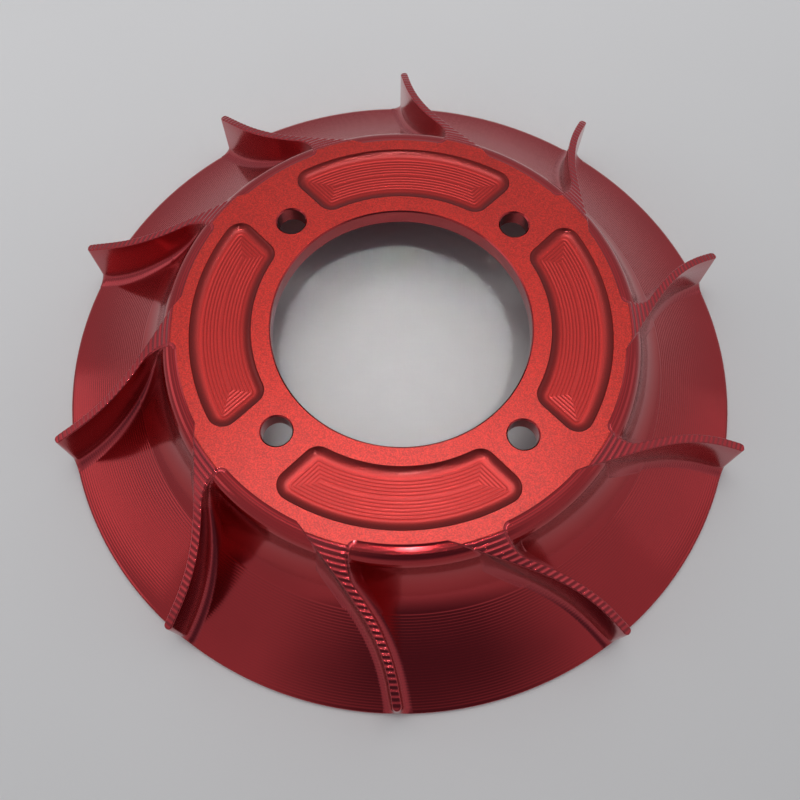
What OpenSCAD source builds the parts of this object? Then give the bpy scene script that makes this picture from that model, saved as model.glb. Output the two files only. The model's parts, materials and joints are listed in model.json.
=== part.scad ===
// Cooling-fan flywheel wheel, machined from one billet: a flat hub plate with a large bore, four bolt
// holes and four shallow kidney recesses, a drum and a conical skirt below it, and swept upright blades.
// Millimetres, +Z up. The origin is on the axis, in the plane of the rim's underside.

/* [Rim and hub] */
// Outer diameter over the rim and the blade ends
rim_diameter = 160; // [80:1:240]
// Thickness of the rim's edge
rim_edge = 1.2; // [0.8:0.1:4]
// Radial width of the flat ring the rim stands on
rim_land = 3; // [1:0.5:6]
// Height of the hub's top face above the underside of the rim
hub_height = 25.7; // [18:0.1:40]
// Thickness of the hub plate
plate_thickness = 4.5; // [3:0.1:8]
// Height of the lip that stands round the plate's underside
plate_lip = 1; // [0.5:0.5:3]
// Radius of the flat top face
top_face_radius = 49.2; // [44:0.1:54]
// Radius of the open chamber under the hub plate
chamber_radius = 47; // [40:0.5:50]

/* [Bore and bolts] */
// Diameter of the centre bore
bore_diameter = 57.6; // [40:0.1:62]
// Diameter of the circle the bolt holes lie on
bolt_circle = 72.8; // [66:0.1:78]
// Diameter of a bolt hole
bolt_hole_diameter = 6.6; // [4:0.1:9]
// Number of bolt holes
bolt_count = 4; // [3:1:6]
// Edge break at the bore and the bolt holes
edge_break = 0.3; // [0.1:0.1:1]

/* [Kidney recesses] */
// Inner radius of a recess
recess_inner_radius = 33.2; // [31:0.1:38]
// Outer radius of a recess
recess_outer_radius = 46.4; // [40:0.1:48]
// Half width of the web left between two recesses
web_half_width = 7.7; // [6:0.1:12]
// Corner radius of a recess
recess_corner = 3.5; // [1:0.1:5]
// Depth of a recess
recess_depth = 1.0; // [0.4:0.1:2]

/* [Skirt] */
// Slope of the skirt's top at the rim
rim_slope = 0.33; // [0.2:0.01:0.5]
// How fast that slope grows towards the hub, per millimetre
slope_gain = 0.021; // [0:0.001:0.03]
// Radius of the drum at its steepest
drum_radius = 53.4; // [52:0.1:56]
// Slope angle there, in degrees
drum_angle = 75; // [70:1:85]
// Radius of the rounded shoulder between top face and drum
shoulder_radius = 4.5; // [3:0.1:6]
// Radius where the drum ends and the skirt begins
skirt_start = 60.5; // [59:0.5:66]
// Thickness of the skirt
skirt_thickness = 2.4; // [1.5:0.1:5]

/* [Blades] */
// Number of blades
blade_count = 10; // [10:1:10]
// Blade thickness
blade_thickness = 1.8; // [1.2:0.1:3]
// Radius where the blade tops leave the flat top face
blade_start = 50.8; // [50:0.1:54]
// Fall of the blade top from hub to rim
blade_fall = 10.7; // [4:0.1:16]
// Radius in the tight corner between a blade's outer-curve side and the hub
channel_corner = 4; // [2:0.1:5]

/* [Hidden] */
$fn = 96;

anodised_red = [0.62, 0.10, 0.11];
rim_r = rim_diameter / 2;
bore_r = bore_diameter / 2;
hole_r = bolt_hole_diameter / 2;
plate_z = hub_height - plate_thickness;
bite = 0.5;                                     // how far a cutter runs past a face
pitch = 360 / blade_count;
first_hole = 45;
first_tip = -18;                                // azimuth of the first blade's tip

// Upper outline of the solid of revolution, from the edge of the top face out to the rim:
// a rounded shoulder, a hollow curve, and a skirt whose slope eases towards the rim.
function skirt_z(r) = let (d = rim_r - r) rim_edge + d * (rim_slope + slope_gain * d / 2);
start_angle = asin(sin(drum_angle) - (drum_radius - top_face_radius) / shoulder_radius);
drum_z = hub_height - shoulder_radius * (cos(start_angle) - cos(drum_angle));
end_angle = atan(rim_slope + slope_gain * (rim_r - skirt_start));
hollow_x = (skirt_start - drum_radius) / (sin(drum_angle) - sin(end_angle));
hollow_z = (drum_z - skirt_z(skirt_start)) / (cos(end_angle) - cos(drum_angle));
shoulder = [for (i = [0:5]) let (a = start_angle + (drum_angle - start_angle) * i / 5)
    [drum_radius - shoulder_radius * (sin(drum_angle) - sin(a)),
     hub_height - shoulder_radius * (cos(start_angle) - cos(a))]];
hollow = [for (i = [1:6]) let (a = drum_angle + (end_angle - drum_angle) * i / 6)
    [drum_radius + hollow_x * (sin(drum_angle) - sin(a)),
     drum_z - hollow_z * (cos(a) - cos(drum_angle))]];
skirt = [for (i = [1:4]) let (r = skirt_start + (rim_r - skirt_start) * i / 4) [r, skirt_z(r)]];
upper = concat(shoulder, hollow, skirt);
land_r = rim_r - rim_land;
// Underside of drum and skirt, from the rim's land up to the chamber.
lower = concat([for (i = [0:4]) let (r = land_r + (skirt_start - land_r) * i / 4)
        [r, i == 0 ? 0 : skirt_z(r) - skirt_thickness]],
    [[drum_radius, drum_z - 9], [chamber_radius, drum_z - 7]]);

// Blade centre line: degrees behind the tip, as a curve of the radius.
function sweep_deg(r) = let (u = (r - 0.8 * rim_r) / (0.2 * rim_r))
    -4.52 + u * (10.05 + u * (-7.84 + u * 2.53));
function sweep_rate(r) = (sweep_deg(r + 0.1) - sweep_deg(r - 0.1)) / 0.2 * PI / 180;
// Point beside the centre line, by a distance towards the outer-curve side.
function beside(r, d) = let (psi = atan(r * sweep_rate(r)), t = sweep_deg(r))
    [r * cos(t) - d * sin(t + psi), r * sin(t) + d * cos(t + psi)];
// Height of a blade's top edge.
function blade_z(r) = let (u = max(0, (r - blade_start) / (rim_r - blade_start)))
    hub_height - blade_fall * u * (1.534 + u * (-1.340 + 0.806 * u));

// Radius at which a circle beside the blade just touches the edge of the top face too.
function touch(d, lo, hi, n) = let (m = (lo + hi) / 2)
    n == 0 ? m :
    norm(beside(m, d)) > top_face_radius + abs(d) - blade_thickness / 2
        ? touch(d, lo, m, n - 1) : touch(d, m, hi, n - 1);
half = blade_thickness / 2;
tip_r = rim_r - half;
near_r = touch(half + channel_corner, top_face_radius, rim_r, 20);
near_c = beside(near_r, half + channel_corner);
// Arc around c from point a to point b in n steps, the short way.
function arc(c, a, b, n) = let (s = atan2(a[1] - c[1], a[0] - c[0]),
    e = atan2(b[1] - c[1], b[0] - c[0]), turn = ((e - s + 540) % 360) - 180, k = norm(a - c))
    [for (i = [0:n]) c + k * [cos(s + turn * i / n), sin(s + turn * i / n)]];
function toward(c, k) = c * (k / norm(c));
blade_plan = concat(
    [for (i = [0:8]) beside(tip_r + (near_r - tip_r) * i / 8, half)],
    arc(near_c, beside(near_r, half), toward(near_c, top_face_radius), 6),
    [toward(near_c, top_face_radius - 1)],
    [for (i = [0:10]) let (r = top_face_radius - 1) beside(r + (tip_r - r) * i / 10, -half)]);

recess_outline = let (
    o = recess_outer_radius - recess_corner, i = recess_inner_radius + recess_corner,
    w = web_half_width + recess_corner, ao = 45 - asin(w / o), ai = 45 - asin(w / i))
    concat([for (s = [0:8]) recess_outer_radius * [cos(ao * s / 4 - ao), sin(ao * s / 4 - ao)]],
           [for (s = [0:5]) let (a = ao + (90 + 45 - ao) * s / 5)
               o * [cos(ao), sin(ao)] + recess_corner * [cos(a), sin(a)]],
           [for (s = [0:5]) let (a = 135 + (45 + ai) * s / 5)
               i * [cos(ai), sin(ai)] + recess_corner * [cos(a), sin(a)]],
           [for (s = [1:7]) recess_inner_radius * [cos(ai - ai * s / 4), sin(ai - ai * s / 4)]],
           [for (s = [0:5]) let (a = 180 - ai + (45 + ai) * s / 5)
               i * [cos(ai), -sin(ai)] + recess_corner * [cos(a), sin(a)]],
           [for (s = [0:4]) let (a = 225 + (135 - ao) * s / 5)
               o * [cos(ao), -sin(ao)] + recess_corner * [cos(a), sin(a)]]);

module hub_plate() {
    color(anodised_red)
    difference() {
        intersection() {
            rotate_extrude() polygon(concat([[bore_r, hub_height]], upper, [[bore_r, rim_edge]]));
            translate([0, 0, plate_z - plate_lip])
                cylinder(h = plate_thickness + plate_lip + bite, r = rim_r);
        }
        translate([0, 0, plate_z - plate_lip - bite])
            cylinder(h = plate_lip + bite, r = chamber_radius);
        translate([0, 0, hub_height - edge_break])
            cylinder(h = edge_break + bite, r1 = bore_r, r2 = bore_r + edge_break + bite);
        for (i = [0:bolt_count - 1])
            rotate([0, 0, first_hole + i * 360 / bolt_count]) translate([bolt_circle / 2, 0, 0]) {
                translate([0, 0, plate_z - bite]) cylinder(h = plate_thickness + 2 * bite, r = hole_r);
                translate([0, 0, hub_height - edge_break])
                    cylinder(h = edge_break + bite, r1 = hole_r, r2 = hole_r + edge_break + bite);
            }
        for (i = [0:bolt_count - 1])
            rotate([0, 0, i * 360 / bolt_count]) translate([0, 0, hub_height - recess_depth])
                linear_extrude(recess_depth + bite) polygon(recess_outline);
    }
}

module body_below() {
    rotate_extrude()
        polygon(concat([[chamber_radius, hub_height]], upper, [[rim_r, 0]], lower));
}

module drum_wall() {
    color(anodised_red)
    intersection() {
        body_below();
        cylinder(h = plate_z - plate_lip, r = skirt_start);
    }
}

module fan_skirt() {
    color(anodised_red)
    difference() {
        body_below();
        translate([0, 0, -bite]) cylinder(h = hub_height + 2 * bite, r = skirt_start);
    }
}

module blade(k) {
    color(anodised_red)
    rotate([0, 0, first_tip + k * pitch])
    intersection() {
        rotate_extrude()
            polygon(concat(upper, [for (i = [0:8])
                let (r = rim_r + (blade_start - rim_r) * i / 8) [r, blade_z(r)]]));
        linear_extrude(hub_height + bite) union() {
            polygon(blade_plan);
            translate(beside(tip_r, 0)) circle(r = half);
        }
    }
}

module blade_01() { blade(0); }
module blade_02() { blade(1); }
module blade_03() { blade(2); }
module blade_04() { blade(3); }
module blade_05() { blade(4); }
module blade_06() { blade(5); }
module blade_07() { blade(6); }
module blade_08() { blade(7); }
module blade_09() { blade(8); }
module blade_10() { blade(9); }

hub_plate();
drum_wall();
fan_skirt();
blade_01();
blade_02();
blade_03();
blade_04();
blade_05();
blade_06();
blade_07();
blade_08();
blade_09();
blade_10();
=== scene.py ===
"""Fan flywheel wheel: the detailed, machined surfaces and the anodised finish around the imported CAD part.

Lengths are in millimetres until a mesh is made, in the CAD part's own frame: +Z up, the axis at x = y = 0,
z = 0 at the rim's underside. Angles are in radians unless a name says degrees.
"""

import json
import math

import bmesh
import bpy
import numpy as np
from mathutils import Matrix, Vector
from mathutils.geometry import delaunay_2d_cdt


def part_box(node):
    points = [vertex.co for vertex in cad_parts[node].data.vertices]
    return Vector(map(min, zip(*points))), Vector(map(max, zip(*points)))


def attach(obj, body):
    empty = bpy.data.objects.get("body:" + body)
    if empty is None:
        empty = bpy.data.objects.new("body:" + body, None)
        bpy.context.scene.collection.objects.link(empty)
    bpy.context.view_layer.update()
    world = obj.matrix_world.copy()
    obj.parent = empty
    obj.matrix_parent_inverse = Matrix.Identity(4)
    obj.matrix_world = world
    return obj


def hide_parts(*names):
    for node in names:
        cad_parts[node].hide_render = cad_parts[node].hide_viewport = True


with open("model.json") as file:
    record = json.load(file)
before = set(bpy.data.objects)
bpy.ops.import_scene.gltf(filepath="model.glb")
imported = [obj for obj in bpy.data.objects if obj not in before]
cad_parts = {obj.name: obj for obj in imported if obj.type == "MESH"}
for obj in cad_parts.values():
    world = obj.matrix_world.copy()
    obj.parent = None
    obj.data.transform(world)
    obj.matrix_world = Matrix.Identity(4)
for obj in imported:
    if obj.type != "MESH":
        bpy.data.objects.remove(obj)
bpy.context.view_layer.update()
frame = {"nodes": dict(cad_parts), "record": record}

MM = 0.001
mounts = {m["name"]: m for m in frame["record"]["mounts"]}

# ---------------------------------------------------------------- sizes shared with the CAD part
RIM_R = round(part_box("fan_skirt")[1].x / MM, 1)
TOP_Z = round(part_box("hub_plate")[1].z / MM, 2)
LIP_Z = round(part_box("hub_plate")[0].z / MM, 2)
BORE_R = mounts["centre_bore"]["dims"]["r_mm"]
HOLE_R = mounts["bolt_circle"]["dims"]["hole_r_mm"]
BOLT_R = mounts["bolt_circle"]["dims"]["pcd_mm"] / 2
BOLT_COUNT = mounts["bolt_circle"]["dims"]["count"]
PLATE_Z = round(mounts["bolt_circle"]["pos_m"][2] / MM, 2)  # underside of the hub plate
BLADE_NODES = sorted(n for n in frame["nodes"] if n.startswith("blade_"))
BLADE_PITCH = 2 * math.pi / len(BLADE_NODES)
FIRST_TIP = math.radians(-18)
FIRST_HOLE = math.radians(45)

EDGE_BREAK = 0.3  # chamfer on the edges of the bore and the bolt holes
FACE_R = 49.2  # edge of the flat top face
CHAMBER_R = 47.0  # the hollow under the hub
CHAMBER_CHAMFER = 0.6
CHAMBER_DROP = 6.6  # the chamber's wall ends this far below the drum's steepest point
DRUM_UNDER_DROP = 9.0  # and the drum's underside this far
DRUM_R = 53.4  # where the drum is steepest
DRUM_ANGLE = math.radians(75)
SHOULDER_R = 4.5
SKIRT_R = 60.5  # where the drum node ends and the skirt node begins
SKIRT_THICKNESS = 2.4
RIM_EDGE = 1.2  # height of the rim's upper edge
RIM_UPPER_BREAK = 0.12  # breaks of the rim's edges
RIM_LOWER_BREAK = 0.15
RIM_CROWN = 0.02
RIM_LAND = 3.0  # width of the rim's flat underside
RIM_LAND_RUNOUT = 0.4
RIM_SLOPE = 0.33  # rise per millimetre inwards at the rim, and how much it grows with each millimetre
SLOPE_GAIN = 0.021
BLADE_HALF = 0.9  # half a blade's thickness
BLADE_START = 50.8  # radius at which a blade's top edge starts to fall
BLADE_FALL = 10.7  # and how far it has fallen at the rim
FALL_CURVE = (1.534, -1.340, 0.806)  # the fall's shares that go with the distance, its square and its cube
SWEEP_CURVE = (-4.52, 10.05, -7.84, 2.53)  # degrees behind the tip, in powers of the way from SWEEP_FROM
SWEEP_FROM = 0.8  # share of the rim's radius
BLADE_SUNK = 0.35  # how far a blade's hidden edge lies under the skirt
BLADE_SUNK_OUT = 0.25  # and outside the end of its foot
FOOT_SHARE = 0.75  # a foot takes at most this share of the blade's height there
ROUND_SHARE = 0.3  # and the rounding of its top at most this share
CORNER_NEAR_R = 1.8  # plan radii between the hub's edge and a blade's outer-curve side: tight, then wide
CORNER_FAR_R = 8.0
CORNER_END = 58.0  # radius at which the wide one runs into the blade's side

# ---------------------------------------------------------------- machining marks
STEP_WIDTH = 0.6  # sloping step below the edge of the top face
STEP_TREAD = 0.16  # narrow flat at its foot
STEP_DROP = 0.21
TREAD_SHARE = 0.94  # depth of the tread's outer edge, as a share of STEP_DROP
STEP_EASE = 2.4  # length over which the shoulder comes back to its plain outline
STEP_FADE = (50.2, 57.5)  # radii between which the step dies out along a blade's outer-curve side
SHOULDER_CUSPS = (1.4, 2.0, 2.55, 3.05)  # along the shoulder, from the edge of the top face
SHOULDER_DEPTHS = (0.022, 0.016, 0.011, 0.008)
GROOVE_START = 60.9  # radii between which the skirt has turned grooves
GROOVE_END = 79.4
GROOVE_PITCH = 0.575
GROOVE_DEPTH = 0.052  # at the hub side; it fades to GROOVE_FADE of that at the rim
GROOVE_FADE = 0.35
TERRACE_FIRST = 51.15  # radius of the first crest on a blade's top
TERRACE_PITCH = 1.1
TERRACE_DEPTH = 0.2  # at the hub; TERRACE_FADE of that from TERRACE_EASE outwards
TERRACE_FADE = 0.42
TERRACE_EASE = 58.0
RIB_PITCH = 0.38  # upright tool marks round the corner between hub and blade
RIB_DEPTH = 0.02
RIB_START = (0.3, 1.2)  # they come in over this stretch from the edge of the top face
RIB_END = 3.0  # and go out over the last of the corner
TICK_GAIN = 2.5  # the skirt's grooves are this much deeper where they run up a blade's foot, and their painted highlight and shade that much stronger
FOOT_OUTER_R = 2.6  # fillet at a blade's foot, on its outer-curve side
FOOT_INNER_R = 2.1  # and on its inner-curve side
FOOT_LIFT = 0.004  # a foot's surface stands this far off the skirt's, so that it is the one seen
TOP_ROUND = 0.3  # rounding of a blade's top edges
RECESS = dict(inner=33.0, outer=46.5, web=7.6, corner=3.5, depth=1.0)
RECESS_WALL_R = 3.2  # hollow of a recess's wall, lowest at RECESS_WALL_LOW from the edge
RECESS_WALL_LOW = 2.2
RECESS_WALL_WIDTH = 2.42
RECESS_RIDGE_PITCH = 0.75  # contour marks on a recess's floor
RECESS_RIDGE_DEPTH = 0.062
GROOVE_PAINTED_LIGHT = 0.22  # painted highlight on the crests of grooves and ridges and painted shade in their bottoms, as a change in the crest value, which is 0.5 on plain metal

# ---------------------------------------------------------------- fineness of the meshes
RING_SEGMENTS = 400
HOLE_SEGMENTS = 48
SHARP_ANGLE = math.radians(38)  # edges that turn more than this are shaded as edges
WELD_DISTANCE = 0.0008  # millimetres

# ---------------------------------------------------------------- finishes and camera
COAT_WEIGHT = 0.62
COAT_IOR = 1.55
COAT_POLISH = 0.75  # the coat's roughness, as a share of the metal's
LAY_SCALE = 5200  # fineness of the turned lines, the dye's clouds and the blasted grain
CLOUD_SCALE = 60
GRAIN_SCALE = 3600
LAY_HEIGHT = 0.00002  # metres
GRAIN_HEIGHT = 0.00008
CAMERA_LENS = 37.975
CAMERA_PLACE = (-0.00041, -0.08506, 0.19124)  # metres
CAMERA_RIGHT = (0.99989781, 0.01251323, 0.0069123)
CAMERA_FORWARD = (0.00173999, 0.37340486, -0.92766685)
STUDIO_FLOOR_R = 3.0  # metres


def smoothstep(a, b, x):
    t = np.clip((x - a) / (b - a), 0, 1)
    return t * t * (3 - 2 * t)


# ---------------------------------------------------------------- outlines
def skirt_z(r):
    d = RIM_R - r
    return RIM_EDGE + d * (RIM_SLOPE + SLOPE_GAIN * d / 2)


def base_outline(steps=400):
    """Upper outline of the body of revolution, smooth: shoulder arc, hollow elliptic arc, skirt."""
    start = math.asin(math.sin(DRUM_ANGLE) - (DRUM_R - FACE_R) / SHOULDER_R)
    end = math.atan(RIM_SLOPE + SLOPE_GAIN * (RIM_R - SKIRT_R))
    a = np.linspace(start, DRUM_ANGLE, steps)
    shoulder = np.c_[
        DRUM_R - SHOULDER_R * (math.sin(DRUM_ANGLE) - np.sin(a)),
        TOP_Z - SHOULDER_R * (math.cos(start) - np.cos(a)),
    ]
    drum_z = shoulder[-1, 1]
    wide = (SKIRT_R - DRUM_R) / (math.sin(DRUM_ANGLE) - math.sin(end))
    tall = (drum_z - skirt_z(SKIRT_R)) / (math.cos(end) - math.cos(DRUM_ANGLE))
    a = np.linspace(DRUM_ANGLE, end, steps)[1:]
    hollow = np.c_[
        DRUM_R + wide * (math.sin(DRUM_ANGLE) - np.sin(a)),
        drum_z - tall * (np.cos(a) - math.cos(DRUM_ANGLE)),
    ]
    r = np.linspace(SKIRT_R, RIM_R, steps)[1:]
    return np.vstack([shoulder, hollow, np.c_[r, skirt_z(r)]]), drum_z


BASE, DRUM_Z = base_outline()
STEP_END = FACE_R + STEP_WIDTH + STEP_TREAD


def base_z(r):
    """Height of the body under the channels, with the first step cut in but without the fine marks."""
    r = np.asarray(r, float)
    cut = np.interp(r, (FACE_R, FACE_R + STEP_WIDTH, STEP_END), (0, 1, TREAD_SHARE))
    left = 1 - smoothstep(STEP_END, STEP_END + STEP_EASE, r)
    return np.interp(r, BASE[:, 0], BASE[:, 1]) - STEP_DROP * cut * left


def scallop(x):
    """Depth from 0 at a crest to 1 halfway to the next, for x counted in crests."""
    f = x - np.floor(x)
    return 4 * f * (1 - f)


def terrace(x):
    """Like scallop, but a steep riser after each crest and then a nearly level tread."""
    f = x - np.floor(x)
    return 1 - np.abs(2 * f - 1) ** 1.3


def groove_fade(r):
    fade = 1 - (1 - GROOVE_FADE) * (r - GROOVE_START) / (GROOVE_END - GROOVE_START)
    return np.where((r > GROOVE_START - 0.01) & (r < GROOVE_END), fade, 0)


def groove_depth(r):
    return GROOVE_DEPTH * groove_fade(r) * scallop((r - GROOVE_START) / GROOVE_PITCH)


def groove_painted_light(r):
    """Crest value of the grooves, as painted light: a painted highlight over 0.5 on a crest and painted
    shade under it in a bottom, less so as they fade.
    """
    return 0.5 + GROOVE_PAINTED_LIGHT * groove_fade(r) * (0.5 - scallop((r - GROOVE_START) / GROOVE_PITCH))


def channel_outline():
    """Rows of r, z and crest value, which paints highlight and shade, along the upper outline, from the top
    face's edge to the rim.
    """
    r = np.linspace(FACE_R, RIM_R, 20000)
    along = np.concatenate([[0], np.cumsum(np.hypot(np.diff(r), np.diff(base_z(r))))])
    step_at = np.interp((FACE_R + STEP_WIDTH, STEP_END), r, along)
    stops, depth = [0, step_at[0] / 2, *step_at], [0] * 4
    # Painted shade on the step's sloping face and a painted highlight along its tread.
    crest = [0.4, 0.4, 0.7, 1.0]
    cusps = (step_at[1],) + SHOULDER_CUSPS
    # Painted highlight on the shoulder's cusps and painted shade between them, weaker as the cusps get
    # shallower.
    for a, b, deep in zip(cusps, cusps[1:], SHOULDER_DEPTHS):
        for f in np.arange(1, 9) / 8:
            stops.append(a + (b - a) * f)
            depth.append(deep * scallop(f))
            crest.append(0.5 + GROOVE_PAINTED_LIGHT * (0.5 - scallop(f)) * deep / SHOULDER_DEPTHS[0])
    smooth = np.arange(stops[-1] + 0.15, np.interp(GROOVE_START, r, along), 0.2)  # plain hollow wall
    ridge_r = np.arange(GROOVE_START, GROOVE_END, GROOVE_PITCH / 6)
    ridge = groove_depth(ridge_r)
    stops = np.concatenate([stops, smooth, np.interp(ridge_r, r, along), [along[-1]]])
    depth = np.concatenate([depth, np.zeros(len(smooth)), ridge, [0]])
    crest = np.concatenate([crest, np.full(len(smooth), 0.5), groove_painted_light(ridge_r), [0.5]])
    at_r, at_z = np.interp(stops, along, r), np.interp(stops, along, base_z(r))
    tangent = np.c_[np.gradient(at_r), np.gradient(at_z)]
    tangent /= np.linalg.norm(tangent, axis=1)[:, None]
    return np.c_[at_r + depth * tangent[:, 1], at_z - depth * tangent[:, 0], crest]


CHANNEL = channel_outline()  # rows of r, z and crest value, which paints highlight and shade


def channel_z(r):
    return np.interp(r, CHANNEL[:, 0], CHANNEL[:, 1])


def blade_top_z(r):
    """Height of a blade's top edge, with its terraces."""
    r = np.asarray(r, float)
    u = (r - BLADE_START) / (RIM_R - BLADE_START)
    first = FALL_CURVE[0] * u
    curve = u * (FALL_CURVE[0] + u * (FALL_CURVE[1] + FALL_CURVE[2] * u))
    z = TOP_Z - BLADE_FALL * np.where(u < 0, first, curve)
    deep = TERRACE_DEPTH * (1 - (1 - TERRACE_FADE) * smoothstep(BLADE_START, TERRACE_EASE, r))
    return np.minimum(TOP_Z, z - deep * terrace((r - TERRACE_FIRST) / TERRACE_PITCH))


# ---------------------------------------------------------------- meshes
class Shell:
    """Vertices and faces of one piece in millimetres; touching vertices are welded when it is made."""

    def __init__(self):
        self.points = []
        self.faces = []
        self.finishes = []
        self.crests = []

    def add(self, points, faces, finish=0, crests=None):
        start = len(self.points)
        self.points.extend(tuple(map(float, p)) for p in points)
        self.faces.extend(tuple(i + start for i in f) for f in faces)
        self.finishes.extend([finish] * len(faces))
        self.crests.extend([0.5] * len(points) if crests is None else map(float, crests))

    def loops(self, rings, finish=0, crests=None):
        """Quads between successive closed rings of equally many points; crests has one crest value a ring,
        which paints highlight and shade.
        """
        rings = [np.asarray(r, float) for r in rings]
        n = len(rings[0])
        faces = [
            (j * n + i, j * n + (i + 1) % n, (j + 1) * n + (i + 1) % n, (j + 1) * n + i)
            for j in range(len(rings) - 1)
            for i in range(n)
        ]
        self.add(np.vstack(rings), faces, finish, None if crests is None else np.repeat(crests, n))

    def flat(self, outlines, z, keep, finish=0):
        """A flat face at z between closed outlines; keep says which triangles stay, by their middle."""
        points = [tuple(map(float, p)) for outline in outlines for p in outline]
        edges = []
        start = 0
        for outline in outlines:
            n = len(outline)
            edges += [(start + i, start + (i + 1) % n) for i in range(n)]
            start += n
        verts, _, faces, *_ = delaunay_2d_cdt(points, edges, [], 0, 1e-7)
        verts = np.array([tuple(v) for v in verts])
        faces = [f for f in faces if keep(*verts[list(f)].mean(0))]
        self.add(np.c_[verts, np.full(len(verts), z)], faces, finish)

    def make(self, name, node):
        mesh = bpy.data.meshes.new(name)
        mesh.from_pydata((np.array(self.points) * MM).tolist(), [], self.faces)
        mesh.polygons.foreach_set("material_index", self.finishes)
        # The crest value of each point, which the finishes turn into painted highlight and painted shade.
        mesh.attributes.new("crest", "FLOAT", "POINT").data.foreach_set("value", self.crests)
        edit = bmesh.new()
        edit.from_mesh(mesh)
        bmesh.ops.remove_doubles(edit, verts=edit.verts, dist=WELD_DISTANCE * MM)
        bmesh.ops.dissolve_degenerate(edit, dist=WELD_DISTANCE * MM / 2, edges=edit.edges)
        loose = [v for v in edit.verts if not v.link_faces]
        bmesh.ops.delete(edit, geom=loose, context="VERTS")
        bmesh.ops.recalc_face_normals(edit, faces=edit.faces)
        for face in edit.faces:
            face.smooth = True
        for edge in edit.edges:
            finishes = {face.material_index for face in edge.link_faces}
            edge.smooth = len(finishes) == 1 and edge.calc_face_angle(0) < SHARP_ANGLE
        edit.to_mesh(mesh)
        edit.free()
        for material in FINISHES:
            mesh.materials.append(material)
        obj = bpy.data.objects.new(name, mesh)
        bpy.context.scene.collection.objects.link(obj)
        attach(obj, "root")
        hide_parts(node)
        return obj


def circle(radius, z=None, centre=(0, 0), n=RING_SEGMENTS):
    a = np.arange(n) * 2 * math.pi / n
    xy = np.c_[centre[0] + radius * np.cos(a), centre[1] + radius * np.sin(a)]
    return xy if z is None else np.c_[xy, np.full(n, z)]


def at_height(xy, z):
    return np.c_[xy, np.full(len(xy), z)]


def revolve(shell, outline, finish=0):
    """Turns an outline round the axis; its points are (r, z) or (r, z, crest), where the crest value paints
    highlight and shade.
    """
    rings = [circle(p[0], p[1]) for p in outline]
    shell.loops(rings, finish, [p[2] if len(p) > 2 else 0.5 for p in outline])


def turn(xy, angle):
    c, s = math.cos(angle), math.sin(angle)
    return np.asarray(xy) @ np.array([[c, s], [-s, c]])


# ---------------------------------------------------------------- finishes
def new_material(name):
    material = bpy.data.materials.new(name)
    material.use_nodes = True
    nodes, links = material.node_tree.nodes, material.node_tree.links
    nodes.clear()
    output = nodes.new("ShaderNodeOutputMaterial")
    shader = nodes.new("ShaderNodeBsdfPrincipled")
    links.new(shader.outputs[0], output.inputs[0])
    return material, nodes, links, shader


def noise(nodes, links, vector, scale, detail=2.0, dimensions="3D"):
    node = nodes.new("ShaderNodeTexNoise")
    node.noise_dimensions = dimensions
    node.inputs["Scale"].default_value = scale
    node.inputs["Detail"].default_value = detail
    socket = node.inputs["W"] if dimensions == "1D" else node.inputs["Vector"]
    links.new(vector, socket)
    return node.outputs[0]


def ranged(nodes, links, value, low, high, from_low=0.3, from_high=0.7):
    node = nodes.new("ShaderNodeMapRange")
    node.inputs["From Min"].default_value = from_low
    node.inputs["From Max"].default_value = from_high
    node.inputs["To Min"].default_value = low
    node.inputs["To Max"].default_value = high
    links.new(value, node.inputs["Value"])
    return node.outputs[0]


def mixed_colour(nodes, links, factor, first, second):
    node = nodes.new("ShaderNodeMix")
    node.data_type = "RGBA"
    node.inputs[6].default_value = (*first, 1)
    node.inputs[7].default_value = (*second, 1)
    links.new(factor, node.inputs[0])
    return node.outputs[2]


def scaled(nodes, links, colour, factor):
    node = nodes.new("ShaderNodeVectorMath")
    node.operation = "SCALE"
    links.new(colour, node.inputs[0])
    links.new(factor, node.inputs["Scale"])
    return node.outputs[0]


def bumped(nodes, links, height, strength, distance, below=None):
    node = nodes.new("ShaderNodeBump")
    node.inputs["Strength"].default_value = strength
    node.inputs["Distance"].default_value = distance
    links.new(height, node.inputs["Height"])
    if below is not None:
        links.new(below, node.inputs["Normal"])
    return node.outputs[0]


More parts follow.
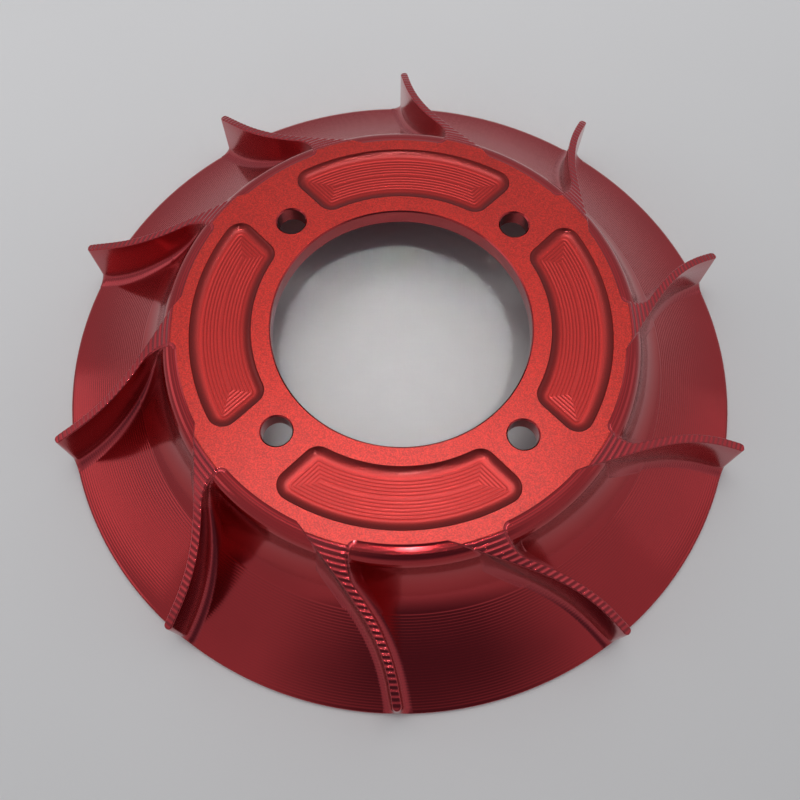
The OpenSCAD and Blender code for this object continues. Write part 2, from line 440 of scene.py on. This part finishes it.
def anodised(name, deep, bright, roughness, grain=0.0, lay=0.0, speckle=0.0, marks=0.3):
    """Dyed anodised aluminium: grain is the blasted texture's bump and speckle its colour, lay the fine
    turned lines round the axis, and marks how strongly the crest value paints highlight (over 0.5) and
    shade (under 0.5) into it."""
    material, nodes, links, shader = new_material(name)
    place = nodes.new("ShaderNodeTexCoord").outputs["Object"]
    split = nodes.new("ShaderNodeSeparateXYZ")
    links.new(place, split.inputs[0])
    radius = nodes.new("ShaderNodeVectorMath")
    radius.operation = "LENGTH"
    flat = nodes.new("ShaderNodeCombineXYZ")
    links.new(split.outputs[0], flat.inputs[0])
    links.new(split.outputs[1], flat.inputs[1])
    links.new(flat.outputs[0], radius.inputs[0])
    rings = noise(nodes, links, radius.outputs["Value"], LAY_SCALE, 1.5, "1D")
    cloud = noise(nodes, links, place, CLOUD_SCALE, 3)
    fine = noise(nodes, links, place, GRAIN_SCALE, 2)
    dye_and_painted_light = mixed_colour(nodes, links, ranged(nodes, links, cloud, 0, 1), deep, bright)
    # Painted light and shade: the crest value lightens the colour on crests, treads and edges as a painted
    # highlight, and darkens it in groove bottoms and down recess walls as painted shade.
    crest = nodes.new("ShaderNodeAttribute")
    crest.attribute_name = "crest"
    gains = [ranged(nodes, links, crest.outputs["Fac"], 1 - marks, 1 + marks, 0, 1)]
    if speckle:
        gains.append(ranged(nodes, links, fine, 1 - speckle, 1 + speckle, 0.35, 0.65))
    for gain in gains:
        dye_and_painted_light = scaled(nodes, links, dye_and_painted_light, gain)
    links.new(dye_and_painted_light, shader.inputs["Base Color"])
    links.new(ranged(nodes, links, cloud, roughness * 0.92, roughness * 1.08), shader.inputs["Roughness"])
    normal = None
    if lay:
        normal = bumped(nodes, links, rings, lay, LAY_HEIGHT)
    if grain:
        normal = bumped(nodes, links, fine, grain, GRAIN_HEIGHT, normal)
    if normal is not None:
        links.new(normal, shader.inputs["Normal"])
    shader.inputs["Metallic"].default_value = 1.0
    shader.inputs["Coat Weight"].default_value = COAT_WEIGHT
    shader.inputs["Coat Roughness"].default_value = roughness * COAT_POLISH
    shader.inputs["Coat IOR"].default_value = COAT_IOR
    return material


def machined_finish():
    """Turned metal: the drum, the skirt, the bore and the underside."""
    return anodised("machined_red", (0.41, 0.015, 0.019), (0.46, 0.018, 0.023), 0.155, lay=0.08, marks=0.42)


def blasted_finish():
    """The flat top face."""
    return anodised("blasted_red", (0.48, 0.017, 0.009), (0.53, 0.021, 0.011), 0.37, grain=0.8, speckle=0.3)


def pocket_finish():
    """The recesses' floors and walls."""
    deep, bright = (0.42, 0.008, 0.004), (0.46, 0.010, 0.006)
    return anodised("pocket_red", deep, bright, 0.38, grain=0.12, speckle=0.1, marks=0.58)


def milled_finish():
    """The blades, a little duller than turned metal."""
    return anodised("milled_red", (0.41, 0.026, 0.034), (0.46, 0.030, 0.038), 0.24, lay=0.08, marks=0.42)


FINISHES = [machined_finish(), blasted_finish(), pocket_finish(), milled_finish()]
MACHINED, BLASTED, POCKETED, MILLED = range(4)


# ---------------------------------------------------------------- hub plate
def recess_loop(inset, arc_steps=28, corner_steps=7):
    """Outline of the recess whose middle is on +X, drawn in by inset."""
    outer, inner = RECESS["outer"] - inset, RECESS["inner"] + inset
    corner = max(RECESS["corner"] - inset, 0.02)
    far, near = outer - corner, inner + corner
    web = RECESS["web"] + inset + corner
    quarter = math.pi / 4
    far_a = quarter - math.asin(web / far)
    near_a = quarter - math.asin(web / near)
    far_c = far * np.array([math.cos(far_a), math.sin(far_a)])
    near_c = near * np.array([math.cos(near_a), math.sin(near_a)])

    def arc(centre, radius, a, b, steps):
        t = np.linspace(a, b, steps + 1)
        return centre + radius * np.c_[np.cos(t), np.sin(t)]

    upper = np.vstack(
        [
            arc(np.zeros(2), outer, 0, far_a, arc_steps)[:-1],
            arc(far_c, corner, far_a, 3 * quarter, corner_steps),
            arc(near_c, corner, 3 * quarter, math.pi + near_a, corner_steps)[:-1],
            arc(np.zeros(2), inner, near_a, 0, arc_steps),
        ]
    )
    lower = upper[::-1][1:-1] * [1, -1]
    return np.vstack([upper, lower])


def recess_rings():
    """Loops from the recess's top edge down its hollow wall and over its ridged floor, and their crests:
    painted shade down the wall, and painted highlight and shade on the floor's ridges.
    """
    floor_z = TOP_Z - RECESS["depth"]
    low_z = floor_z + RECESS_WALL_R - math.hypot(RECESS_WALL_R, RECESS_WALL_WIDTH - RECESS_WALL_LOW)
    rings = [(0, TOP_Z, 0.5)]
    for d in RECESS_WALL_WIDTH * np.array([0.04, 0.1, 0.18, 0.28, 0.4, 0.52, 0.64, 0.76, 0.88, 1]):
        rise = RECESS_WALL_R - math.sqrt(RECESS_WALL_R**2 - (d - RECESS_WALL_LOW) ** 2)
        # Painted shade on the recess's wall: darkest just under the top edge, easing off towards the floor.
        rings.append((d, low_z + rise, 0.1 + 0.5 * (d / RECESS_WALL_WIDTH) ** 3))
    middle = (RECESS["outer"] - RECESS["inner"]) / 2
    steps = 6
    for i in range(1, int((middle - RECESS_WALL_WIDTH) / RECESS_RIDGE_PITCH * steps)):
        dip = scallop(i / steps)
        inset = RECESS_WALL_WIDTH + i * RECESS_RIDGE_PITCH / steps
        # Painted highlight on the floor's ridges and painted shade between them.
        rings.append((inset, floor_z - RECESS_RIDGE_DEPTH * dip, 0.5 + GROOVE_PAINTED_LIGHT * (0.5 - dip)))
    return [at_height(recess_loop(d), z) for d, z, _ in rings], [crest for *_, crest in rings]


def inside(outline, x, y):
    """Whether a point is inside a closed outline, by counting crossings."""
    x0, y0 = outline[:, 0], outline[:, 1]
    x1, y1 = np.roll(x0, -1), np.roll(y0, -1)
    spans = (y0 > y) != (y1 > y)
    crossing = x0[spans] + (y - y0[spans]) / (y1[spans] - y0[spans]) * (x1[spans] - x0[spans])
    return np.count_nonzero(crossing > x) % 2 == 1


def hole_centres():
    angles = FIRST_HOLE + np.arange(BOLT_COUNT) * 2 * math.pi / BOLT_COUNT
    return [BOLT_R * np.array([math.cos(a), math.sin(a)]) for a in angles]


def round_openings(outer_edges):
    """A flat face's outer edges together with the edges of the bore and the bolt holes."""
    edges = outer_edges + [circle(BORE_R + EDGE_BREAK)]
    return edges + [circle(HOLE_R + EDGE_BREAK, centre=c, n=HOLE_SEGMENTS) for c in hole_centres()]


def on_plate(x, y, outer_r):
    """Whether a point lies on the plate: inside outer_r and clear of the bore and the bolt holes."""
    in_hole = any(math.hypot(x - c[0], y - c[1]) < HOLE_R + EDGE_BREAK for c in hole_centres())
    return BORE_R + EDGE_BREAK < math.hypot(x, y) < outer_r and not in_hole


def add_top_and_recesses(shell):
    rings, crests = recess_rings()
    quarter_turns = np.arange(4) * math.pi / 2
    recesses = [turn(rings[0][:, :2], a) for a in quarter_turns]

    def on_top(x, y):
        return on_plate(x, y, FACE_R) and not any(inside(recess, x, y) for recess in recesses)

    shell.flat(round_openings([circle(FACE_R)]) + recesses, TOP_Z, on_top, BLASTED)
    for a in quarter_turns:
        turned_rings = [np.c_[turn(ring[:, :2], a), ring[:, 2]] for ring in rings]
        shell.loops(turned_rings, POCKETED, crests)
        shell.add(turned_rings[-1], [tuple(range(len(turned_rings[-1])))], POCKETED)


def through_profile(radius):
    """Outline (r, z) down a hole through the plate, with both edges broken."""
    return [
        (radius + EDGE_BREAK, TOP_Z),
        (radius, TOP_Z - EDGE_BREAK),
        (radius, PLATE_Z + EDGE_BREAK),
        (radius + EDGE_BREAK, PLATE_Z),
    ]


def seam_radius():
    """Radius at which the upper outline passes from the hub plate's node to the drum's."""
    return float(np.interp(-LIP_Z, -CHANNEL[:, 1], CHANNEL[:, 0]))


def build_hub_plate():
    shell = Shell()
    add_top_and_recesses(shell)
    for centre in hole_centres():
        shell.loops([circle(r, z, centre, HOLE_SEGMENTS) for r, z in through_profile(HOLE_R)], MACHINED)
    revolve(shell, through_profile(BORE_R), MACHINED)
    seat_edges = round_openings([circle(CHAMBER_R)])
    shell.flat(seat_edges, PLATE_Z, lambda x, y: on_plate(x, y, CHAMBER_R), MACHINED)
    above = [tuple(p) for p in CHANNEL if p[1] > LIP_Z]
    below = [(seam_radius(), LIP_Z), (CHAMBER_R, LIP_Z), (CHAMBER_R, PLATE_Z)]
    revolve(shell, above + below, MACHINED)
    return shell.make("hub_plate_machined", "hub_plate")


# ---------------------------------------------------------------- drum and skirt
def underside_z(r):
    return skirt_z(r) - SKIRT_THICKNESS


def build_drum_wall():
    shell = Shell()
    outer = [tuple(p) for p in CHANNEL if p[1] < LIP_Z and p[0] < SKIRT_R]
    inner_r = np.linspace(SKIRT_R, DRUM_R, 12)
    ease = smoothstep(0, 1, (SKIRT_R - inner_r) / (SKIRT_R - DRUM_R))
    inner_z = underside_z(SKIRT_R) + (DRUM_Z - DRUM_UNDER_DROP - underside_z(SKIRT_R)) * ease
    wall_z = DRUM_Z - CHAMBER_DROP
    wall = [(CHAMBER_R + CHAMBER_CHAMFER, wall_z - CHAMBER_CHAMFER), (CHAMBER_R, wall_z)]
    wall.append((CHAMBER_R, LIP_Z))
    seam, foot = (seam_radius(), LIP_Z), (SKIRT_R, channel_z(SKIRT_R))
    revolve(shell, [seam, *outer, foot, *zip(inner_r, inner_z), *wall, seam], MACHINED)
    return shell.make("drum_wall_machined", "drum_wall")


def build_fan_skirt():
    shell = Shell()
    land_r = RIM_R - RIM_LAND
    upper = [tuple(p) for p in CHANNEL if p[0] > SKIRT_R + 0.01]
    under_r = np.linspace(land_r - RIM_LAND_RUNOUT, SKIRT_R, 40)
    start = (SKIRT_R, channel_z(SKIRT_R))
    rim = [
        (RIM_R - RIM_UPPER_BREAK, RIM_EDGE + RIM_CROWN),
        (RIM_R, RIM_EDGE - RIM_UPPER_BREAK),
        (RIM_R, RIM_LOWER_BREAK),
        (RIM_R - RIM_LOWER_BREAK, 0),
        (land_r, 0),
    ]
    revolve(shell, [start, *upper[:-1], *rim, *zip(under_r, underside_z(under_r)), start], MACHINED)
    return shell.make("fan_skirt_machined", "fan_skirt")


# ---------------------------------------------------------------- blades
def sweep(r):
    """Angle of a blade's centre line behind its tip."""
    start = SWEEP_FROM * RIM_R
    u = (r - start) / (RIM_R - start)
    a, b, c, d = SWEEP_CURVE
    return np.radians(a + u * (b + u * (c + u * d)))


def beside(r, d):
    """Points beside the centre line by d towards the outer-curve side, and the direction of that side."""
    r = np.asarray(r, float)
    lean = sweep(r) + np.arctan(r * (sweep(r + 0.1) - sweep(r - 0.1)) / 0.2)
    side = np.stack([-np.sin(lean), np.cos(lean)], -1)
    line = np.stack([r * np.cos(sweep(r)), r * np.sin(sweep(r))], -1)
    return line + d * side, side


def corner_centres():
    """Centres of the tight and the wide arc between the edge of the top face and the blade's side."""
    wide = beside(CORNER_END, BLADE_HALF + CORNER_FAR_R)[0]
    apart = CORNER_FAR_R - CORNER_NEAR_R
    reach = FACE_R + CORNER_NEAR_R
    far = np.linalg.norm(wide)
    along = (reach**2 - apart**2 + far**2) / (2 * far)
    across = math.sqrt(reach**2 - along**2)
    towards = wide / far
    tight = along * towards + across * np.array([towards[1], -towards[0]])
    return tight, wide


def arc_between(centre, radius, start, end, steps=400):
    """Points on the shorter arc between two directions, and their directions from the centre."""
    a = math.atan2(start[1], start[0])
    b = math.atan2(end[1], end[0])
    t = np.linspace(a, a + (b - a + math.pi) % (2 * math.pi) - math.pi, steps)
    out = np.c_[np.cos(t), np.sin(t)]
    return centre + radius * out, out


def side_curve(sign):
    """One side of the blade in plan, from the top face's edge to the tip: points and outward directions."""
    tip_r = RIM_R - BLADE_HALF
    tip_c, tip_side = beside(tip_r, 0)
    if sign > 0:
        tight, wide = corner_centres()
        near, near_out = arc_between(tight, CORNER_NEAR_R, -tight, tight - wide)
        end = beside(CORNER_END, BLADE_HALF)[0]
        far, far_out = arc_between(wide, CORNER_FAR_R, tight - wide, end - wide)
        corner, corner_out = np.vstack([near, far[1:]]), -np.vstack([near_out, far_out[1:]])
        face_r = np.linspace(CORNER_END, tip_r, 2000)[1:]
    else:
        corner, corner_out = np.zeros((0, 2)), np.zeros((0, 2))
        face_r = np.linspace(FACE_R - 1.5, tip_r, 2200)
    face, side = beside(face_r, sign * BLADE_HALF)
    end, end_out = arc_between(tip_c, BLADE_HALF, sign * tip_side, tip_c)
    points = np.vstack([corner, face, end[1:]])
    outs = np.vstack([corner_out, sign * side, end_out[1:]])
    return points, outs


def along_outer_side():
    """Radius and distance along the outer-curve side, from the edge of the top face."""
    points = side_curve(1)[0]
    steps = np.linalg.norm(np.diff(points, axis=0), axis=1)
    return np.linalg.norm(points, axis=1), np.concatenate([[0], np.cumsum(steps)])


REACH, ALONG = along_outer_side()
CORNER_LENGTH = float(np.interp(CORNER_END, REACH, ALONG))


def stations():
    """Radii of the sections along a blade: evenly spaced round the corner, then with the grooves' pitch."""
    corner = np.interp(np.arange(0, CORNER_LENGTH, RIB_PITCH / 4), ALONG, REACH)
    tip_r = RIM_R - BLADE_HALF
    body = np.arange(CORNER_END + 0.1, tip_r - 0.15, GROOVE_PITCH / 4)
    end = tip_r + BLADE_HALF * np.sin(np.linspace(0, math.pi / 2, 12))
    return np.concatenate([corner, body, end])


def side_section(sign, radii):
    """Points up one side of the blade (sunk edge, foot, wall, step, rounding) and their crest values, which
    paint highlight and shade.
    """
    points, outs = side_curve(sign)
    reach = np.linalg.norm(points, axis=1)
    at = np.stack([np.interp(radii, reach, points[:, i]) for i in (0, 1)], -1)
    out = np.stack([np.interp(radii, reach, outs[:, i]) for i in (0, 1)], -1)
    out /= np.linalg.norm(out, axis=1)[:, None]
    step = 1 - smoothstep(*STEP_FADE, radii) if sign > 0 else np.zeros(len(radii))
    tread = step * (STEP_WIDTH + STEP_TREAD)
    drop = step * STEP_DROP
    along = np.interp(radii, REACH, ALONG)
    ribs_end = 1 - smoothstep(CORNER_LENGTH - RIB_END, CORNER_LENGTH, along)
    ribbed = smoothstep(*RIB_START, along) * ribs_end * (sign > 0)
    rib = ribbed * scallop(along / RIB_PITCH)
    # Painted shade in the hollows of the upright tool marks and a painted highlight between them.
    rib_painted_light = 0.5 + 0.6 * (0.5 * ribbed - rib)

    def place(offset):
        xy = at + (tread + offset)[:, None] * out
        r = np.linalg.norm(xy, axis=1)
        return xy * (np.minimum(r, RIM_R - 0.01) / r)[:, None]

    wall = place(-RIB_DEPTH * rib)
    height = np.maximum(blade_top_z(radii) - drop - base_z(np.linalg.norm(wall, axis=1)), 0)
    foot = np.minimum(FOOT_OUTER_R if sign > 0 else FOOT_INNER_R, FOOT_SHARE * height)
    rounding = np.minimum(TOP_ROUND if sign > 0 else TOP_ROUND / 2, ROUND_SHARE * height) * (1 - step)
    xy = place(foot + BLADE_SUNK_OUT)
    rings = [np.c_[xy, base_z(np.linalg.norm(xy, axis=1)) - BLADE_SUNK]]
    crests = [np.full(len(radii), 0.5)]
    for a in np.linspace(0, math.pi / 2, 10):
        xy = place(foot * (1 - math.sin(a)) - RIB_DEPTH * rib)
        r = np.linalg.norm(xy, axis=1)
        ground = base_z(r) + (channel_z(r) - base_z(r)) * math.cos(a) * TICK_GAIN
        rings.append(np.c_[xy, np.minimum(ground + foot * (1 - math.cos(a)) + FOOT_LIFT, TOP_Z)])
        # The foot carries the skirt grooves' painted highlight and shade up from the skirt.
        crests.append(rib_painted_light + (groove_painted_light(r) - 0.5) * math.cos(a) * TICK_GAIN)
    low = rings[-1][:, 2]
    high = blade_top_z(radii) - drop * TREAD_SHARE - rounding
    for share in (1 / 3, 2 / 3, 1):
        rings.append(np.c_[wall, low + (high - low) * share])
        crests.append(rib_painted_light)
    # A painted highlight along the top of the wall and the step's edge, where the step runs along the side.
    crests[-1] = 0.5 + 0.25 * step
    rings.append(np.c_[place(-step * STEP_TREAD), blade_top_z(radii) - drop - rounding])
    crests.append(0.5 + 0.1 * step)
    for a in np.linspace(0, math.pi / 2, 6):
        xy = at - (rounding * (1 - math.cos(a)))[:, None] * out
        top = blade_top_z(np.linalg.norm(xy, axis=1))
        rings.append(np.c_[xy, top - rounding * (1 - math.sin(a))])
        crests.append(np.full(len(radii), 0.5))
    return rings, crests


def blade_rings():
    """The blade with its tip on +X: a closed ring of points at each station, their crest values (painted
    light and shade), the columns that its top takes, and how many points its side and its top have."""
    radii = stations()
    left, left_crests = side_section(1, radii)
    right, right_crests = side_section(-1, radii)
    strips = 8

    def across(a, b, height):
        ra, rb = np.linalg.norm(a[:, :2], axis=1), np.linalg.norm(b[:, :2], axis=1)
        ta, tb = np.arctan2(a[:, 1], a[:, 0]), np.arctan2(b[:, 1], b[:, 0])
        rows = []
        for share in np.arange(1, strips) / strips:
            r, t = ra + (rb - ra) * share, ta + (tb - ta) * share
            rows.append(np.c_[r * np.cos(t), r * np.sin(t), height(r)])
        return rows

    top = across(left[-1], right[-1], blade_top_z)
    bottom = across(right[0], left[0], lambda r: base_z(r) - BLADE_SUNK)
    rings = np.stack(left + top + right[::-1] + bottom, 1)
    plain = [np.full(len(radii), 0.5)] * len(top)
    crests = np.stack(left_crests + plain + right_crests[::-1] + plain, 1)
    reach = np.linalg.norm(rings[:, :, :2], axis=2)
    # Painted highlight and painted shade in alternating bands along the terraces on the blade's top.
    tread = 0.5 - 0.4 * np.sin(2 * math.pi * (reach - TERRACE_FIRST) / TERRACE_PITCH)
    terraces = np.where(reach < BLADE_START, 0.5, tread)
    top_range = (len(left) - 1, len(left) + len(top))
    shown = slice(top_range[0] - 2, top_range[1] + 3)
    crests[:, shown] = terraces[:, shown]
    return rings, crests, top_range, len(left), len(top)


def build_blade(index, node, rings, crests, top_range, side_count, top_count):
    angle = FIRST_TIP + index * BLADE_PITCH
    placed = np.concatenate([turn(rings[:, :, :2].reshape(-1, 2), angle), rings[:, :, 2].reshape(-1, 1)], 1)
    count, n = rings.shape[:2]
    shell = Shell()
    faces = []
    for j in range(count - 1):
        for i in range(n):
            faces.append((j * n + i, j * n + (i + 1) % n, (j + 1) * n + (i + 1) % n, (j + 1) * n + i))
    shell.add(placed, faces, MILLED, crests.ravel())
    flat_until = np.linalg.norm(rings[:, side_count, :2], axis=1) < BLADE_START - 0.2
    for f in range(len(faces)):
        j, i = divmod(f, n)
        if top_range[0] <= i < top_range[1] and flat_until[j]:
            shell.finishes[f] = BLASTED
    cap = []
    bottom_start = 2 * side_count + top_count
    for i in range(top_count + 1):
        a, b = side_count - 1 + i, side_count + i
        c = (bottom_start + top_count - i) % n
        d = (bottom_start + top_count - 1 - i) % n
        cap.append((a, b, d, c))
    shell.add(placed[:n], cap, MILLED)
    return shell.make(node + "_machined", node)


# ---------------------------------------------------------------- camera, floor and light
def build_camera():
    data = bpy.data.cameras.new("camera")
    data.sensor_width = 36
    data.lens = CAMERA_LENS
    data.clip_start = 0.01
    data.clip_end = 20
    camera = bpy.data.objects.new("camera", data)
    right, forward = np.array(CAMERA_RIGHT), np.array(CAMERA_FORWARD)
    up = np.cross(right, forward)
    turned_to = Matrix([[right[i], up[i], -forward[i]] for i in range(3)]).to_4x4()
    camera.matrix_world = Matrix.Translation(CAMERA_PLACE) @ turned_to
    bpy.context.scene.collection.objects.link(camera)
    bpy.context.scene.camera = camera


def floor_finish():
    """Matt off-white paper, with painted light that makes it a little brighter towards the far side."""
    material, nodes, links, shader = new_material("floor_paper")
    place = nodes.new("ShaderNodeTexCoord").outputs["Object"]
    cloud = noise(nodes, links, place, 6, 3)
    mottle = ranged(nodes, links, cloud, 0, 1)
    colour = mixed_colour(nodes, links, mottle, (0.80, 0.80, 0.78), (0.83, 0.83, 0.81))
    # Painted light: the colour is raised towards the far left and lowered towards the near right, for the
    # fall of light across the floor.
    across = nodes.new("ShaderNodeVectorMath")
    across.operation = "DOT_PRODUCT"
    across.inputs[1].default_value = (-0.35, 0.94, 0)
    links.new(place, across.inputs[0])
    painted_floor_light = ranged(nodes, links, across.outputs["Value"], 0.84, 1.10, -0.14, 0.14)
    links.new(scaled(nodes, links, colour, painted_floor_light), shader.inputs["Base Color"])
    shader.inputs["Roughness"].default_value = 0.6
    return material


def build_floor():
    mesh = bpy.data.meshes.new("floor")
    edit = bmesh.new()
    bmesh.ops.create_circle(edit, cap_ends=True, radius=STUDIO_FLOOR_R, segments=96)
    edit.to_mesh(mesh)
    edit.free()
    mesh.materials.append(floor_finish())
    floor = bpy.data.objects.new("floor", mesh)
    bpy.context.scene.collection.objects.link(floor)


def area_light(name, place, towards, size, power):
    data = bpy.data.lights.new(name, "AREA")
    data.shape = "RECTANGLE"
    data.size, data.size_y = size
    data.energy = power
    lamp = bpy.data.objects.new(name, data)
    lamp.location = place
    aim = Vector(towards) - lamp.location
    lamp.rotation_euler = aim.to_track_quat("-Z", "Y").to_euler()
    bpy.context.scene.collection.objects.link(lamp)
    return lamp


def softbox(name, azimuth_deg, elevation_deg, distance, size, radiance):
    """A soft light seen from the part at that azimuth (from +Y towards +X) and elevation."""
    azimuth, elevation = math.radians(azimuth_deg), math.radians(elevation_deg)
    flat = distance * math.cos(elevation)
    place = (flat * math.sin(azimuth), flat * math.cos(azimuth), distance * math.sin(elevation))
    area_light(name, place, (0, 0, 0), size, radiance * math.pi * size[0] * size[1])


def build_lamps():
    softbox("overhead_softbox", 0, 75, 0.9, (1.3, 1.0), 0.22)
    softbox("key_softbox", -5, 81, 0.8, (0.44, 0.28), 2.65)
    softbox("left_softbox", -94, 27, 0.9, (0.75, 0.2), 0.66)
    softbox("right_softbox", 90, 27, 0.9, (0.55, 0.16), 0.3)
    bore_lamp = area_light("bore_lamp", (0.04, -0.26, 0.88), (0, 0.004, 0.022), (0.05, 0.05), 0.0052)
    bore_lamp.data.spread = math.radians(8)  # a narrow beam through the bore on to the floor


def build_room():
    """An even grey room, a little darker on the left and dark in front."""
    world = bpy.data.worlds.new("studio")
    bpy.context.scene.world = world
    world.use_nodes = True
    nodes, links = world.node_tree.nodes, world.node_tree.links
    seen = nodes.new("ShaderNodeTexCoord").outputs["Generated"]

    def towards(direction, low, high):
        dot = nodes.new("ShaderNodeVectorMath")
        dot.operation = "DOT_PRODUCT"
        dot.inputs[1].default_value = direction
        links.new(seen, dot.inputs[0])
        return ranged(nodes, links, dot.outputs["Value"], 0, 1, low, high)

    on_left = towards((-0.94, -0.26, 0.2), 0.6, 0.95)
    walls = mixed_colour(nodes, links, on_left, (0.44, 0.44, 0.47), (0.40, 0.40, 0.43))
    room = nodes.new("ShaderNodeMix")
    room.data_type = "RGBA"
    room.inputs[7].default_value = (0.10, 0.105, 0.135, 1)
    links.new(towards((0.12, -0.79, 0.6), 0.82, 0.97), room.inputs[0])
    links.new(walls, room.inputs[6])
    links.new(room.outputs[2], nodes["Background"].inputs["Color"])


build_hub_plate()
build_drum_wall()
build_fan_skirt()
blade_points = blade_rings()
for number, blade_node in enumerate(BLADE_NODES):
    build_blade(number, blade_node, *blade_points)
build_camera()
build_floor()
build_lamps()
build_room()
bpy.context.scene.view_settings.view_transform = "Standard"
